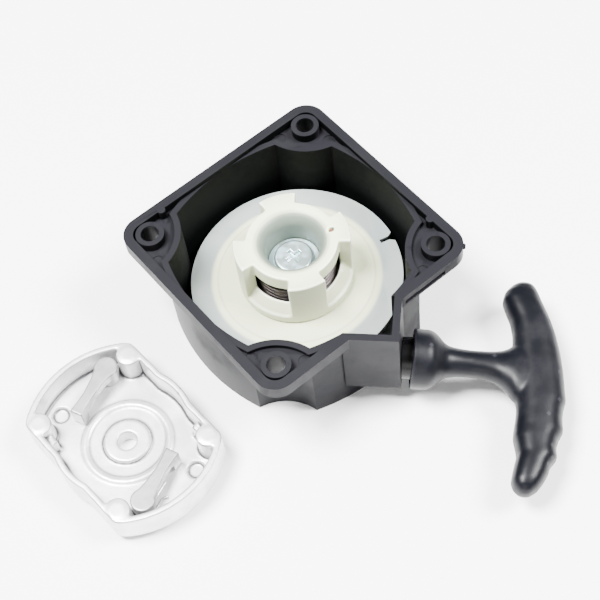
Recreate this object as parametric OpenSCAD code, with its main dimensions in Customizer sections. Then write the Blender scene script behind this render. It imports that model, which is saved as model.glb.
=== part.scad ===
// Recoil starter for a small two-stroke engine: housing with reel and drive cam, pull handle, and the pawl plate
// that bolts to the engine shaft, lying beside the housing. Millimetres, +Z up, origin on the reel's axis at the
// closed back of the housing.

/* [Reel and rope] */
// Radius of the reel's flanges
reel_r = 34.2; // [30:0.2:42]
// Thickness of the reel's two flanges
reel_flange_t = 1.4; // [1:0.1:2]
// Diameter of the starter rope
rope_d = 3; // [2.4:0.1:3]
// Turns of rope side by side in the reel
rope_columns = 3; // [2:1:3]
// Width of the recoil spring strip
spring_w = 5.5; // [4:0.1:5.7]
// Thickness of the recoil spring strip
spring_t = 0.6; // [0.4:0.1:0.8]

/* [Housing] */
// Height from the closed back to the engine face
housing_h = 37; // [36:0.2:46]
// Wall of the drum
drum_wall = 2; // [1.5:0.1:2.5]
// Thickness of the closed back
back_t = 2.4; // [1.8:0.1:2.6]
// Thickness of the square engine flange
flange_t = 5; // [4:0.1:7]
// Width of the raised strip along the flange
flange_strip = 3.1; // [2:0.1:4]
// Corner radius of the flange
flange_corner_r = 7; // [5:0.1:8]
// Radius of the four bolt holes
bolt_hole_r = 2.9; // [2.2:0.1:3.3]
// Wall round each bolt hole
boss_wall = 1.65; // [1.2:0.05:2]
// Number of ventilation slots in the back
vent_count = 20; // [8:1:24]

/* [Drive cam] */
// Radius over the cam's lugs
cam_r = 18.4; // [16:0.1:22]
// Outside radius of the ring on the cam's nose
cam_ring_r = 14.5; // [14.2:0.1:15]
// Number of lugs
lug_count = 4; // [2:1:5]
// Angle that one lug covers
lug_angle = 38; // [25:1:45]
// Wire diameter of the assist spring
assist_wire_d = 1.2; // [0.9:0.1:1.4]

/* [Centre screw] */
// Radius of the screw's shank
screw_r = 2.45; // [2:0.05:2.5]
// Radius of the screw's head
screw_head_r = 6.25; // [5:0.05:6.6]
// Thickness of the screw's head
screw_head_t = 2.3; // [1.6:0.1:3]

/* [Pull handle] */
// Largest radius of the handle's bell
bell_r = 9.4; // [9:0.1:11.4]
// Radius of the handle's neck
neck_r = 4.5; // [4:0.1:5.4]
// Half the thickness of the grip
grip_half_t = 6.2; // [5:0.1:7.4]
// Angle at which the hanging handle droops
handle_droop = 6; // [0:0.5:6]

/* [Pawl plate] */
// Radius over the plate's two lobes
plate_r = 31; // [29:0.1:37]
// Half the width across the plate's straight sides
plate_half_w = 21.1; // [20:0.1:25.4]
// Height of the plate's rim above the surface it lies on
plate_h = 13.2; // [12:0.1:16]
// Thickness of the plate's rim
rim_t = 2; // [1.5:0.1:2.4]
// Radius of the shaft bore
plate_bore_r = 3; // [2.5:0.1:4]
// Length of a pawl from its pivot to its tip
pawl_len = 18.1; // [15:0.1:18.1]
// Radius of a pawl's round end
pawl_r = 3.8; // [3.4:0.1:4]

/* [Hidden] */
$fn = 72;

// Clearances
run_gap = 0.05;
seat_gap = 0.1;
press_gap = 0.02;
free_gap = 0.3;
// How far cutters reach past a surface, and how deep joined solids sink into each other
past = 1;
sink = 0.5;

// Plan of the drum: four bulged sides meeting at pairs of horns beside a scallop at each bolt
reel_gap = 4.2;
drum_half = reel_r + reel_gap;
side_bulge_r = drum_half + 26;
scallop_r = 16.2;
scallop_reach = drum_half + 14.9;
flange_half = drum_half + 1.1;
flange_inner = flange_half - flange_strip;
boss_r = bolt_hole_r + boss_wall;
boss_drop = 4;
boss_inset = 8;
bolt_circle_r = (flange_half - boss_inset) * sqrt(2);
lip_z = housing_h - 1.7;
flange_z = housing_h - flange_t;
pocket_z = flange_z + 1.8;
mark_r = 2;
mark_depth = 0.25;
mark_angle = 11;
mark_in = 2.6;
nub_r = 1.3;
nub_along = 23.4;
nib_r = 0.8;
nib_h = 1.2;
nib_drop = 1.6;
nib_in = 2.98;
vent_w = 2.4;
vent_from_recess = 2.2;
vent_from_wall = 3;

// Reel, measured up from the back
rope_r = rope_d / 2;
reel_z = back_t + 1.2;
groove_z = reel_z + reel_flange_t;
groove_h = rope_columns * rope_d + 0.6;
groove_top = groove_z + groove_h;
rim_z = groove_top + reel_flange_t;
face_z = rim_z + 0.6;
face_r = reel_r - 8.9;
core_r = reel_r - 7.7;
core_wall = 1.3;
recess_r = core_r - core_wall;
spring_z = back_t + 0.5;
recess_z = spring_z + spring_w + 1;
arbor_r = 7.6;
post_r = 5;
hub_z = spring_z + seat_gap;
notch_angle = 29;
notch_w = 1.3;
notch_mouth = 4.8;
notch_flare = 1.6;
notch_len = 4.6;
knot_r = 2.6;
knot_at = recess_r - 5;

// Winding: one full layer, and a second layer that leaves the top column free for the rope's lead
wind_in = core_r + 0.2;
wind_mid = wind_in + rope_d;
wind_out = wind_mid + rope_d - free_gap;
wind_z = groove_z + 0.2;
wind_top = groove_top - 0.4;
lead_z = groove_top - 0.2 - rope_r;
wind_step_z = lead_z - rope_r - free_gap;

// Outlet box at the side, and the bush that guides the rope out of it
rope_y = reel_r - 5.9;
rope_z = rim_z - 0.7;
bush_r = 6.6;
bush_body_r = 3.4;
bush_bore_r = rope_r + 0.4;
bush_collar_r = 4.4;
bush_collar_t = 1.3;
bush_chamfer = 0.6;
bush_lead_in = 1;
outlet_wall = 2.3;
outlet_y = -(rope_y + bush_r + free_gap);
outlet_x = flange_half * sqrt(2) - rope_y + bush_r + 1.3;
outlet_z = rope_z - bush_r - 0.2;
outlet_in = drum_half - 20;
notch_side_l = 16;
notch_side_h = 1.8;
notch_side_at = 12;
notch_side_depth = 0.8;

// Drive cam, with its top just inside the engine face
cam_top = housing_h - 1;
cam_z = face_z + 0.5;
cam_web_t = 1.2;
cam_tube_r = 10.3;
cam_bore_r = arbor_r + 0.06;
head_bore_r = 8.5;
funnel_round = 5;
funnel_steps = 6;
ring_h = 5.5;
chamber_r = 14.2;
cam_ledge = 0.8;
window_lip = 0.3;
window_in = 0.4;
shelf_lip = 0.6;
base_edge_z = cam_z + 3.2;
shelf_z = cam_top - 12.5;
lug_phase = 21;
leg_slot_angle = 110;
leg_angle = 22;
leg_gap = 0.25;
leg_hole_r = assist_wire_d / 2 + leg_gap;
leg_depth = 1.6;
leg_end_drop = 0.9;
leg_turn = 8;
assist_r = 12.8;
assist_turns = 7;
assist_z0 = cam_z + cam_web_t + assist_wire_d / 2 + 2 * seat_gap;
assist_z1 = cam_top - ring_h - assist_wire_d / 2 - 2 * seat_gap;
assist_steps = 12;
wire_sides = 8;
slot_lead = 10;

// Post, insert, washer and screw on the axis
post_top = cam_top - 11.6;
washer_t = 0.8;
washer_r = head_bore_r - free_gap;
head_z = post_top + washer_t;
insert_r = 3.6;
insert_l = 12;
screw_l = 11;
head_round = 0.9;
recess_arm = 2.6;
recess_w = 1.3;
recess_depth = 1.4;

// Recoil spring
coil_in_r = arbor_r + 0.9;
coil_out_r = recess_r - 4.4;
coil_turns = 7;
coil_steps = 20;
anchor_r = 1.3;
anchor_at = recess_r - 2;
anchor_seat = 1.2;
coil_start = -22;
hook_steps = 3;

// Pull handle, measured from the centre of the bell's mouth along its own axis
handle_gap = 3;
bell_depth = 3;
bell_wall = 1.4;
handle_x = outlet_x + handle_gap;
nose_drop = 1.2;
nose_end = handle_x + bell_depth - nose_drop;
handle_bore_r = rope_r + 0.5;
knot_pocket_r = 4.2;
pocket_x = 30;
handle_washer_r = 3.9;
handle_washer_t = 1;
handle_knot_r = 3.3;
grip_root = 36;
grip_sides = 16;
// Stations of the grip: place across the rope, place of the middle along it, half width, share of the thickness
GRIP = [
    [30.4, 33.6, 1.2, 0.2], [29.4, 33.5, 3.2, 0.5], [27.6, 33.4, 4.7, 0.72], [24.5, 33.6, 6, 0.88],
    [19, 35.2, 6.5, 0.95], [12, 37.4, 6.8, 1], [5, 38.8, 7.1, 1], [-3, 39.4, 7.4, 1],
    [-11, 39.6, 7.6, 1], [-18, 39.2, 7.1, 0.98], [-24, 38.4, 6.9, 0.96], [-29.5, 38.4, 5.9, 0.92],
    [-34, 37.2, 5.4, 0.88], [-38, 36.2, 5, 0.82], [-40.6, 35.6, 3.7, 0.66], [-42, 35.4, 1.3, 0.3]
];
// Outline of bell and neck: place along the rope, share of the way from the neck's radius to the bell's
BELL = [
    [0, 0.98], [1.2, 1], [5, 0.9], [7.4, 0.72], [9, 0.48], [10.4, 0.24], [12, 0.08], [14, 0.02],
    [20, 0], [26, 0.06], [30, 0.14]
];
// Rope inside the housing: share of the way to the outlet's face, then offset from the bush's axis
LEAD_IN = [
    [0.08, -3.2, -2.4], [0.22, -2.9, -2.4], [0.4, -2.2, -2.4], [0.5, -1.6, -2.4], [0.6, -1.2, -2.2],
    [0.68, -0.7, -1.7], [0.76, -0.4, -1], [0.84, -0.1, -0.3], [0.9, 0, -0.1], [1, 0, 0]
];
// Rope in the handle, measured from the bell's mouth in the housing's own directions
LEAD_OUT = [
    [1.5, 0, 0], [4, 0, -0.3], [8, 0, -0.8], [13, 0, -1.3], [18, 0, -1.8], [25, 0, -2.6], [30.5, 0, -3.15]
];
lead_sides = 8;

// Pawl plate, turned about its own axis so that its lobes lie across the corner beside the housing
plate_at = [-48.5, -56.5];
plate_turn = 137.5;
plate_z = 2.5;
floor_t = 2;
floor_z = plate_z + floor_t;
hub_r = 11;
bulge_r = plate_half_w + 1.2;
lobe_corner_r = 4;
waist_blend = 7;
corner_angle = 42;
pad_at = plate_r - 4.3;
pad_r = 2.7;
pad_boss_r = 4;
pad_lift = 0.2;
ring_out = 14.1;
ring_in = 12.6;
disc_r = 7.4;
disc_lift = 1.1;
ring_lift = 0.6;
dimple_r = 2.85;
dimple_at = plate_r - 6.8;
dimple_angle = 23;
dimple_depth = 1;
step_at = 12.6;
step_in = 2.6;
step_w = 3.8;
step_drop = 3;

// Pawls: turned on studs that pass through the plate's floor
pivot_at = plate_r - 6.9;
pivot_angle = -24.5;
pawl_turn = 135.4;
pawl_top = plate_h - 1.3;
pawl_t = 3.2;
pawl_foot_l = 3.4;
pawl_foot_z = floor_z + 0.7;
tip_half = 2.2;
waist_half = 1.65;
heel_half = 1.82;
// Outline of a pawl's arm: share of its length, half width
ARM = [
    [0, pawl_r - 0.3], [0.3, (pawl_r + waist_half) / 2 - 0.5], [0.6, waist_half], [0.8, heel_half],
    [1, tip_half]
];
stud_r = 1.95;
stud_z = 0.6;
clip_r = 3.5;
clip_t = 0.8;
clip_groove_r = 1.4;
clip_z = plate_z - free_gap - clip_t;
pawl_wire_d = 0.8;
pawl_coil_r = stud_r + 0.95;
pawl_coil_turns = 3;
pawl_coil_steps = 14;
pawl_leg_l = 3.4;
pawl_leg_bend = 1.25;

// Points round a circle in the plane square to an axis: u and v span that plane
function ring(c, u, v, r, n) = [for (k = [0:n - 1]) c + r * (u * cos(360 * k / n) + v * sin(360 * k / n))];
function unit(v) = v / norm(v);
function across(d) = unit(abs(d[2]) > 0.9 ? cross(d, [1, 0, 0]) : cross(d, [0, 0, 1]));
function heading(path, i) =
    unit(path[min(i + 1, len(path) - 1)] - path[max(i - 1, 0)]);

// A tube of round section along a path, as one closed solid
module tube(path, r, sides) {
    n = len(path);
    rings = [for (i = [0:n - 1])
        let(d = heading(path, i), u = across(d), v = cross(d, u))
        ring(path[i], u, v, r, sides)];
    skin(rings, sides);
}

// Rings of equal point count joined into one closed solid
module skin(rings, sides) {
    n = len(rings);
    points = [for (ring_points = rings) for (p = ring_points) p];
    walls = [for (i = [0:n - 2]) for (k = [0:sides - 1])
        let(k2 = (k + 1) % sides)
        [i * sides + k, (i + 1) * sides + k, (i + 1) * sides + k2, i * sides + k2]];
    first = [for (k = [0:sides - 1]) k];
    last = [for (k = [sides - 1:-1:0]) (n - 1) * sides + k];
    polyhedron(points, concat([first], walls, [last]), convexity = 8);
}

// Points of a helix about +Z
function helix(r, z0, z1, turns, steps, start) =
    [for (i = [0:turns * steps])
        let(a = start + 360 * i / steps)
        [r * cos(a), r * sin(a), z0 + (z1 - z0) * i / (turns * steps)]];

module four_times() {
    for (a = [0:90:270])
        rotate(a)
            children();
}

// Drum outline, grown outwards by g
module drum_plan(g = 0) {
    difference() {
        intersection() {
            for_side(45, g);
            for_side(135, g);
            for_side(225, g);
            for_side(315, g);
        }
        four_times()
            translate([scallop_reach, 0])
                circle(scallop_r - g);
    }
}

// One bulged side of the drum
module for_side(a, g) {
    rotate(a)
        translate([drum_half - side_bulge_r, 0])
            circle(side_bulge_r + g, $fn = 144);
}

// Square with round corners, its sides facing the diagonals
module diagonal_square(half, r) {
    rotate(45) {
        square([2 * half, 2 * (half - r)], center = true);
        square([2 * (half - r), 2 * half], center = true);
        four_times()
            translate([half - r, half - r])
                circle(r);
    }
}

module at_bolts() {
    four_times()
        translate([bolt_circle_r, 0])
            children();
}

// Plan of the rope outlet, grown outwards by g
module outlet_plan(g = 0) {
    translate([outlet_in, outlet_y - g])
        square([outlet_x + g - outlet_in, -outlet_in - outlet_y + g]);
}

module along_rope() {
    translate([0, -rope_y, rope_z])
        rotate([0, 90, 0])
            children();
}

module housing_outside() {
    linear_extrude(lip_z)
        drum_plan();
    translate([0, 0, flange_z])
        linear_extrude(flange_t)
            diagonal_square(flange_half, flange_corner_r);
    translate([0, 0, outlet_z])
        linear_extrude(housing_h - outlet_z)
            outlet_plan();
    at_bolts()
        translate([0, 0, flange_z - boss_drop])
            cylinder(h = boss_drop + sink, r = boss_r);
}

module corner_pockets() {
    translate([0, 0, pocket_z])
        linear_extrude(flange_t)
            difference() {
                diagonal_square(flange_inner, flange_corner_r - flange_strip);
                drum_plan();
                at_bolts()
                    circle(boss_r);
                outlet_plan();
            }
    translate([0, 0, lip_z])
        linear_extrude(flange_t)
            difference() {
                diagonal_square(flange_inner, flange_corner_r - flange_strip);
                at_bolts()
                    circle(boss_r);
            }
    for (a = [-1, 1])
        four_times()
            rotate(a * mark_angle)
                translate([bolt_circle_r - mark_in, 0, pocket_z - mark_depth])
                    cylinder(h = mark_depth + past, r = mark_r);
}

// Two small round stops against the strip, beside the bosses at the sides
module strip_nubs() {
    for (side = [-1, 1])
        rotate(90 - 45 * side)
            translate([flange_inner, -side * nub_along, flange_z + sink])
                cylinder(h = flange_t - sink, r = nub_r);
}

module vents() {
    vent_in = recess_r + vent_from_recess;
    vent_out = drum_half - drum_wall - vent_from_wall;
    for (i = [0:vent_count - 1])
        rotate((i + 0.5) * 360 / vent_count)
            translate([vent_in, -vent_w / 2, -past])
                cube([vent_out - vent_in, vent_w, back_t + 2 * past]);
}

module housing() {
    color([0.27, 0.27, 0.3]) {
        difference() {
            housing_outside();
            translate([0, 0, back_t])
                linear_extrude(housing_h)
                    drum_plan(-drum_wall);
            corner_pockets();
            translate([0, 0, outlet_z + outlet_wall])
                linear_extrude(housing_h)
                    outlet_plan(-outlet_wall);
            at_bolts()
                translate([0, 0, flange_z - boss_drop - past])
                    cylinder(h = boss_drop + flange_t + 2 * past, r = bolt_hole_r);
            along_rope()
                translate([0, 0, outlet_x - outlet_wall - past])
                    cylinder(h = outlet_wall + 2 * past, r = bush_body_r + run_gap);
            rotate(-45)
                translate([flange_half - notch_side_depth, notch_side_at, flange_z + notch_side_depth])
                    cube([notch_side_depth + past, notch_side_l, notch_side_h]);
            vents();
            translate([anchor_at, 0, back_t - anchor_seat])
                cylinder(h = anchor_seat + past, r = anchor_r + press_gap);
        }
        difference() {
            translate([0, 0, back_t - sink])
                cylinder(h = post_top - back_t + sink, r = post_r);
            translate([0, 0, post_top - insert_l])
                cylinder(h = insert_l + past, r = insert_r + press_gap);
        }
        strip_nubs();
        translate([flange_half * sqrt(2) - nib_in, 0, housing_h - nib_drop])
            cylinder(h = nib_h, r = nib_r);
    }
}

module post_insert() {
    color([0.78, 0.62, 0.3])
        translate([0, 0, post_top - insert_l])
            difference() {
                cylinder(h = insert_l, r = insert_r);
                translate([0, 0, -past])
                    cylinder(h = insert_l + 2 * past, r = screw_r + run_gap);
            }
}

module centre_screw() {
    color([0.82, 0.85, 0.88])
        difference() {
            union() {
                translate([0, 0, head_z - screw_l])
                    cylinder(h = screw_l + sink, r = screw_r);
                translate([0, 0, head_z])
                    rotate_extrude()
                        difference() {
                            square([screw_head_r, screw_head_t]);
                            translate([screw_head_r - head_round, screw_head_t - head_round])
                                difference() {
                                    square(head_round + past);
                                    circle(head_round);
                                }
                        }
            }
            for (a = [45, 135])
                rotate(a)
                    translate([-recess_arm, -recess_w / 2, head_z + screw_head_t - recess_depth])
                        cube([2 * recess_arm, recess_w, recess_depth + past]);
        }
}

module centre_washer() {
    color([0.8, 0.8, 0.82])
        translate([0, 0, post_top])
            difference() {
                cylinder(h = washer_t, r = washer_r);
                translate([0, 0, -past])
                    cylinder(h = washer_t + 2 * past, r = screw_r + seat_gap);
            }
}

module thrust_washer() {
    color([0.75, 0.72, 0.6])
        translate([0, 0, back_t])
            difference() {
                cylinder(h = spring_z - back_t, r = arbor_r);
                translate([0, 0, -past])
                    cylinder(h = spring_z + past, r = post_r + seat_gap);
            }
}

module rope_guide_bush() {
    seat_x = outlet_x - outlet_wall - bush_collar_t;
    color([0.05, 0.05, 0.06])
        along_rope()
            translate([0, 0, seat_x])
                rotate_extrude()
                    polygon([
                        [bush_bore_r + bush_lead_in, 0],
                        [bush_collar_r, 0],
                        [bush_collar_r, bush_collar_t],
                        [bush_body_r, bush_collar_t],
                        [bush_body_r, outlet_x - seat_x],
                        [bush_r, outlet_x - seat_x],
                        [bush_r, nose_end - seat_x - bush_chamfer],
                        [bush_r - bush_chamfer, nose_end - seat_x],
                        [bush_bore_r + bush_lead_in, nose_end - seat_x],
                        [bush_bore_r, nose_end - seat_x - bush_lead_in],
                        [bush_bore_r, bush_lead_in]
                    ]);
}

module spring_anchor_pin() {
    color([0.6, 0.6, 0.62])
        translate([anchor_at, 0, back_t - anchor_seat])
            cylinder(h = spring_z + spring_w - back_t + anchor_seat, r = anchor_r);
}

module recoil_spring() {
    steps = coil_turns * coil_steps;
    hook_rise = anchor_at - anchor_r - spring_t / 2 - seat_gap - coil_out_r;
    function coil(i, side) =
        let(a = coil_start + 360 * i / coil_steps,
            hook = max(0, i - steps + hook_steps) / hook_steps,
            r = coil_in_r + (coil_out_r - coil_in_r) * i / steps + hook_rise * hook + side)
        [r * cos(a), r * sin(a)];
    color([0.35, 0.37, 0.42])
        translate([0, 0, spring_z])
            linear_extrude(spring_w)
                polygon(concat(
                    [for (i = [0:steps + 1]) coil(i, spring_t / 2)],
                    [for (i = [steps + 1:-1:0]) coil(i, -spring_t / 2)]
                ));
}

module reel() {
    color([0.93, 0.94, 0.88])
        difference() {
            rotate_extrude($fn = 144)
                polygon([
                    [post_r + run_gap, hub_z],
                    [arbor_r, hub_z],
                    [arbor_r, recess_z],
                    [recess_r, recess_z],
                    [recess_r, reel_z],
                    [reel_r, reel_z],
                    [reel_r, groove_z],
                    [core_r, groove_z],
                    [core_r, groove_top],
                    [reel_r, groove_top],
                    [reel_r, rim_z],
                    [face_r + 2 * (face_z - rim_z), rim_z],
                    [face_r, face_z],
                    [arbor_r, face_z],
                    [arbor_r, post_top - seat_gap],
                    [post_r + run_gap, post_top - seat_gap]
                ]);
            rotate(notch_angle)
                translate([0, 0, groove_top - past / 2])
                    linear_extrude(reel_flange_t + past)
                        polygon([
                            [reel_r - notch_len, -notch_w / 2],
                            [reel_r - notch_flare, -notch_w / 2],
                            [reel_r + past, -notch_mouth / 2],
                            [reel_r + past, notch_mouth / 2],
                            [reel_r - notch_flare, notch_w / 2],
                            [reel_r - notch_len, notch_w / 2]
                        ]);
            rotate(notch_angle + 180)
                translate([knot_at, 0, recess_z - past])
                    cylinder(h = 2 * knot_r + past + free_gap, r = knot_r + free_gap);
            rotate(leg_angle)
                translate([assist_r, 0, face_z - leg_depth - free_gap])
                    cylinder(h = leg_depth + free_gap + past, r = leg_hole_r);
        }
}

module rope_winding() {
    color([0.85, 0.82, 0.74])
        rotate_extrude($fn = 144)
            polygon([
                [wind_in, wind_z],
                [wind_out, wind_z],
                [wind_out, wind_step_z],
                [wind_mid, wind_step_z],
                [wind_mid - free_gap, wind_top],
                [wind_in, wind_top]
            ]);
}

module reel_knot() {
    color([0.85, 0.82, 0.74])
        rotate(notch_angle + 180)
            translate([knot_at, 0, recess_z + knot_r])
                sphere(knot_r, $fn = 32);
}

module cam_sector(start, angle, profile) {
    rotate(start)
        rotate_extrude(angle = angle, $fn = 96)
            polygon(profile);
}

module drive_cam() {
    chamber_top = cam_top - ring_h;
    pitch = 360 / lug_count;
    mouth_r = head_bore_r + funnel_round;
    color([0.95, 0.95, 0.87])
        difference() {
            translate([0, 0, cam_z])
                cylinder(h = cam_top - cam_z, r = cam_r, $fn = 96);
            rotate_extrude($fn = 96)
                polygon([
                    [cam_tube_r, cam_z + cam_web_t],
                    [chamber_r, cam_z + cam_web_t],
                    [chamber_r, chamber_top],
                    [cam_tube_r, chamber_top]
                ]);
            rotate_extrude($fn = 96)
                polygon(concat(
                    [
                        [0, cam_z - past],
                        [cam_bore_r, cam_z - past],
                        [cam_bore_r, post_top - 2 * seat_gap],
                        [head_bore_r, post_top - 2 * seat_gap]
                    ],
                    [for (i = [0:funnel_steps])
                        let(a = 90 * i / funnel_steps)
                        [mouth_r - funnel_round * cos(a), cam_top - funnel_round * (1 - sin(a))]],
                    [
                        [mouth_r, cam_top + past],
                        [0, cam_top + past]
                    ]
                ));
            for (i = [0:lug_count - 1])
                cam_sector(lug_phase + lug_angle / 2 + i * pitch, pitch - lug_angle, [
                    [cam_r + past, base_edge_z],
                    [cam_r - cam_ledge, base_edge_z],
                    [chamber_r + shelf_lip, shelf_z],
                    [chamber_r - window_in, shelf_z],
                    [chamber_r - window_in, chamber_top - window_lip],
                    [cam_ring_r, chamber_top - window_lip],
                    [cam_ring_r, cam_top + past],
                    [cam_r + past, cam_top + past]
                ]);
            rotate(leg_angle)
                translate([assist_r, 0, chamber_top - past])
                    cylinder(h = ring_h + 2 * past, r = leg_hole_r);
            translate([0, 0, cam_z - past])
                cam_sector(leg_angle - slot_lead, leg_slot_angle, [
                    [assist_r - leg_hole_r, 0],
                    [assist_r + leg_hole_r, 0],
                    [assist_r + leg_hole_r, cam_web_t + 2 * past],
                    [assist_r - leg_hole_r, cam_web_t + 2 * past]
                ]);
        }
}

module assist_spring() {
    r = assist_wire_d / 2;
    function leg(a, z) = [assist_r * cos(a), assist_r * sin(a), z];
    path = concat(
        [leg(leg_angle, face_z - leg_depth), leg(leg_angle, assist_z0 - 2 * seat_gap)],
        helix(assist_r, assist_z0, assist_z1, assist_turns, assist_steps, leg_angle + leg_turn),
        [leg(leg_angle + leg_turn / 2, assist_z1 + r), leg(leg_angle, assist_z1 + 3 * r),
            leg(leg_angle, cam_top - leg_end_drop)]
    );
    color([0.3, 0.28, 0.28])
        tube(path, r, wire_sides);
}

module in_handle() {
    translate([handle_x, -rope_y, rope_z])
        rotate([0, handle_droop, 0])
            children();
}

module handle_grip() {
    outline = [for (p = BELL) [neck_r + (bell_r - neck_r) * p[1], p[0]]];
    rings = [for (s = GRIP)
        [for (k = [0:grip_sides - 1])
            let(a = 360 * k / grip_sides)
            [s[1] + s[2] * cos(a), s[0], grip_half_t * s[3] * sin(a)]]];
    color([0.22, 0.23, 0.27])
        in_handle()
            difference() {
                union() {
                    rotate([0, 90, 0])
                        rotate_extrude()
                            polygon(concat([[0, 0]], outline, [[outline[len(outline) - 1][0], grip_root], [0, grip_root]]));
                    skin(rings, grip_sides);
                }
                rotate([0, 90, 0]) {
                    translate([0, 0, -past])
                        cylinder(h = bell_depth + past, r = bell_r - bell_wall);
                    translate([0, 0, -past])
                        cylinder(h = pocket_x + 2 * past, r = handle_bore_r);
                    translate([0, 0, pocket_x])
                        cylinder(h = grip_root, r = knot_pocket_r);
                }
            }
}

module handle_washer() {
    color([0.7, 0.71, 0.73])
        in_handle()
            rotate([0, 90, 0])
                translate([0, 0, pocket_x])
                    difference() {
                        cylinder(h = handle_washer_t, r = handle_washer_r);
                        translate([0, 0, -past])
                            cylinder(h = handle_washer_t + 2 * past, r = handle_bore_r);
                    }
}

module handle_knot() {
    color([0.85, 0.82, 0.74])
        in_handle()
            translate([pocket_x + handle_washer_t + handle_knot_r, 0, 0])
                sphere(handle_knot_r, $fn = 32);
}

module rope_lead() {
    color([0.85, 0.82, 0.74])
        tube(concat(
            [for (p = LEAD_IN) [p[0] * outlet_x, p[1] - rope_y, p[2] + rope_z]],
            [for (p = LEAD_OUT) [p[0] + handle_x, p[1] - rope_y, p[2] + rope_z]]
        ), rope_r, lead_sides);
}

module in_plate() {
    translate([plate_at[0], plate_at[1], 0])
        rotate(plate_turn)
            children();
}

// Plate outline: two lobes and a bulged waist, with every corner rounded
module plate_plan() {
    offset(r = -waist_blend)
        offset(r = waist_blend)
            offset(r = lobe_corner_r)
                offset(r = -lobe_corner_r) {
                    intersection() {
                        circle(plate_r, $fn = 144);
                        square([2 * plate_r, 2 * plate_half_w], center = true);
                    }
                    circle(bulge_r, $fn = 96);
                }
}

module plate_corners() {
    for (a = [corner_angle, 180 - corner_angle, 180 + corner_angle, -corner_angle])
        rotate(a)
            translate([pad_at, 0])
                children();
}

module plate_pocket_plan() {
    difference() {
        offset(r = -rim_t)
            plate_plan();
        plate_corners()
            circle(pad_boss_r);
    }
}

module pawl_plate() {
    color([0.86, 0.87, 0.89])
        in_plate() {
            difference() {
                union() {
                    translate([0, 0, plate_z])
                        linear_extrude(plate_h - plate_z)
                            plate_plan();
                    cylinder(h = plate_z + sink, r = hub_r);
                    plate_corners()
                        translate([0, 0, plate_h - sink])
                            cylinder(h = sink + pad_lift, r = pad_r);
                }
                translate([0, 0, floor_z])
                    linear_extrude(plate_h)
                        plate_pocket_plan();
                translate([0, 0, -past])
                    cylinder(h = plate_h, r = plate_bore_r);
                for (a = [dimple_angle, 180 + dimple_angle])
                    rotate(a)
                        translate([dimple_at, 0, floor_z - dimple_depth])
                            cylinder(h = dimple_depth + past, r = dimple_r);
                for (a = [pivot_angle, 180 + pivot_angle])
                    rotate(a)
                        translate([pivot_at, 0, plate_z - past])
                            cylinder(h = floor_t + 2 * past, r = stud_r + run_gap);
            }
            difference() {
                translate([0, 0, floor_z - sink])
                    cylinder(h = sink + ring_lift, r = ring_out);
                translate([0, 0, floor_z])
                    cylinder(h = ring_lift + past, r = ring_in);
                translate([0, 0, floor_z - past])
                    cylinder(h = ring_lift + 2 * past, r = disc_r);
            }
            difference() {
                translate([0, 0, floor_z - sink])
                    cylinder(h = sink + disc_lift, r = disc_r);
                translate([0, 0, floor_z - past])
                    cylinder(h = disc_lift + 2 * past, r = plate_bore_r);
            }
            for (a = [0, 180])
                rotate(a)
                    translate([step_at, plate_half_w - rim_t - step_in, floor_z - sink])
                        cube([step_w, step_in + sink, plate_h - step_drop - floor_z + sink]);
        }
}

// Frame of one pawl: its pivot at the origin and its arm along +X
module at_pivot(side) {
    in_plate()
        rotate(pivot_angle + 180 * side)
            translate([pivot_at, 0, 0])
                rotate(pawl_turn)
                    children();
}

module pawl(side) {
    color([0.78, 0.79, 0.8])
        at_pivot(side) {
            translate([0, 0, pawl_top - pawl_t])
                linear_extrude(pawl_t) {
                    circle(pawl_r);
                    polygon(concat(
                        [for (p = ARM) [pawl_len * p[0], -p[1]]],
                        [for (i = [len(ARM) - 1:-1:0]) [pawl_len * ARM[i][0], ARM[i][1]]]
                    ));
                }
            translate([0, 0, pawl_foot_z])
                linear_extrude(pawl_top - pawl_foot_z)
                    polygon([
                        [pawl_len - pawl_foot_l, -heel_half],
                        [pawl_len, -tip_half],
                        [pawl_len, tip_half],
                        [pawl_len - pawl_foot_l, heel_half]
                    ]);
            translate([0, 0, clip_z + clip_t + seat_gap])
                cylinder(h = pawl_top - pawl_t - clip_z - clip_t - seat_gap + sink, r = stud_r);
            translate([0, 0, clip_z - sink])
                cylinder(h = clip_t + 2 * sink, r = clip_groove_r);
            translate([0, 0, stud_z])
                cylinder(h = clip_z - stud_z, r = stud_r);
        }
}

module pawl_spring(side) {
    z0 = floor_z + pawl_wire_d / 2 + 1.5 * seat_gap;
    z1 = pawl_top - pawl_t - pawl_wire_d / 2 - 1.5 * seat_gap;
    out = pawl_coil_r;
    path = concat(
        [[out + pawl_leg_l, -out - pawl_leg_bend, z0], [out + pawl_leg_l - pawl_leg_bend, -out, z0],
            [out * 0.6, -out, z0]],
        helix(out, z0, z1, pawl_coil_turns, pawl_coil_steps, 360 / pawl_coil_steps - 90),
        [[out + past, -out * 0.72, z1], [pawl_len / 2, -out * 0.72, z1]]
    );
    color([0.45, 0.45, 0.48])
        at_pivot(side)
            tube(path, pawl_wire_d / 2, wire_sides);
}

module pawl_clip(side) {
    color([0.35, 0.35, 0.37])
        at_pivot(side)
            translate([0, 0, clip_z])
                difference() {
                    cylinder(h = clip_t, r = clip_r);
                    translate([0, 0, -past])
                        cylinder(h = clip_t + 2 * past, r = clip_groove_r + run_gap);
                    translate([0, -clip_groove_r, -past])
                        cube([clip_r + past, 2 * clip_groove_r, clip_t + 2 * past]);
                }
}

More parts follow.
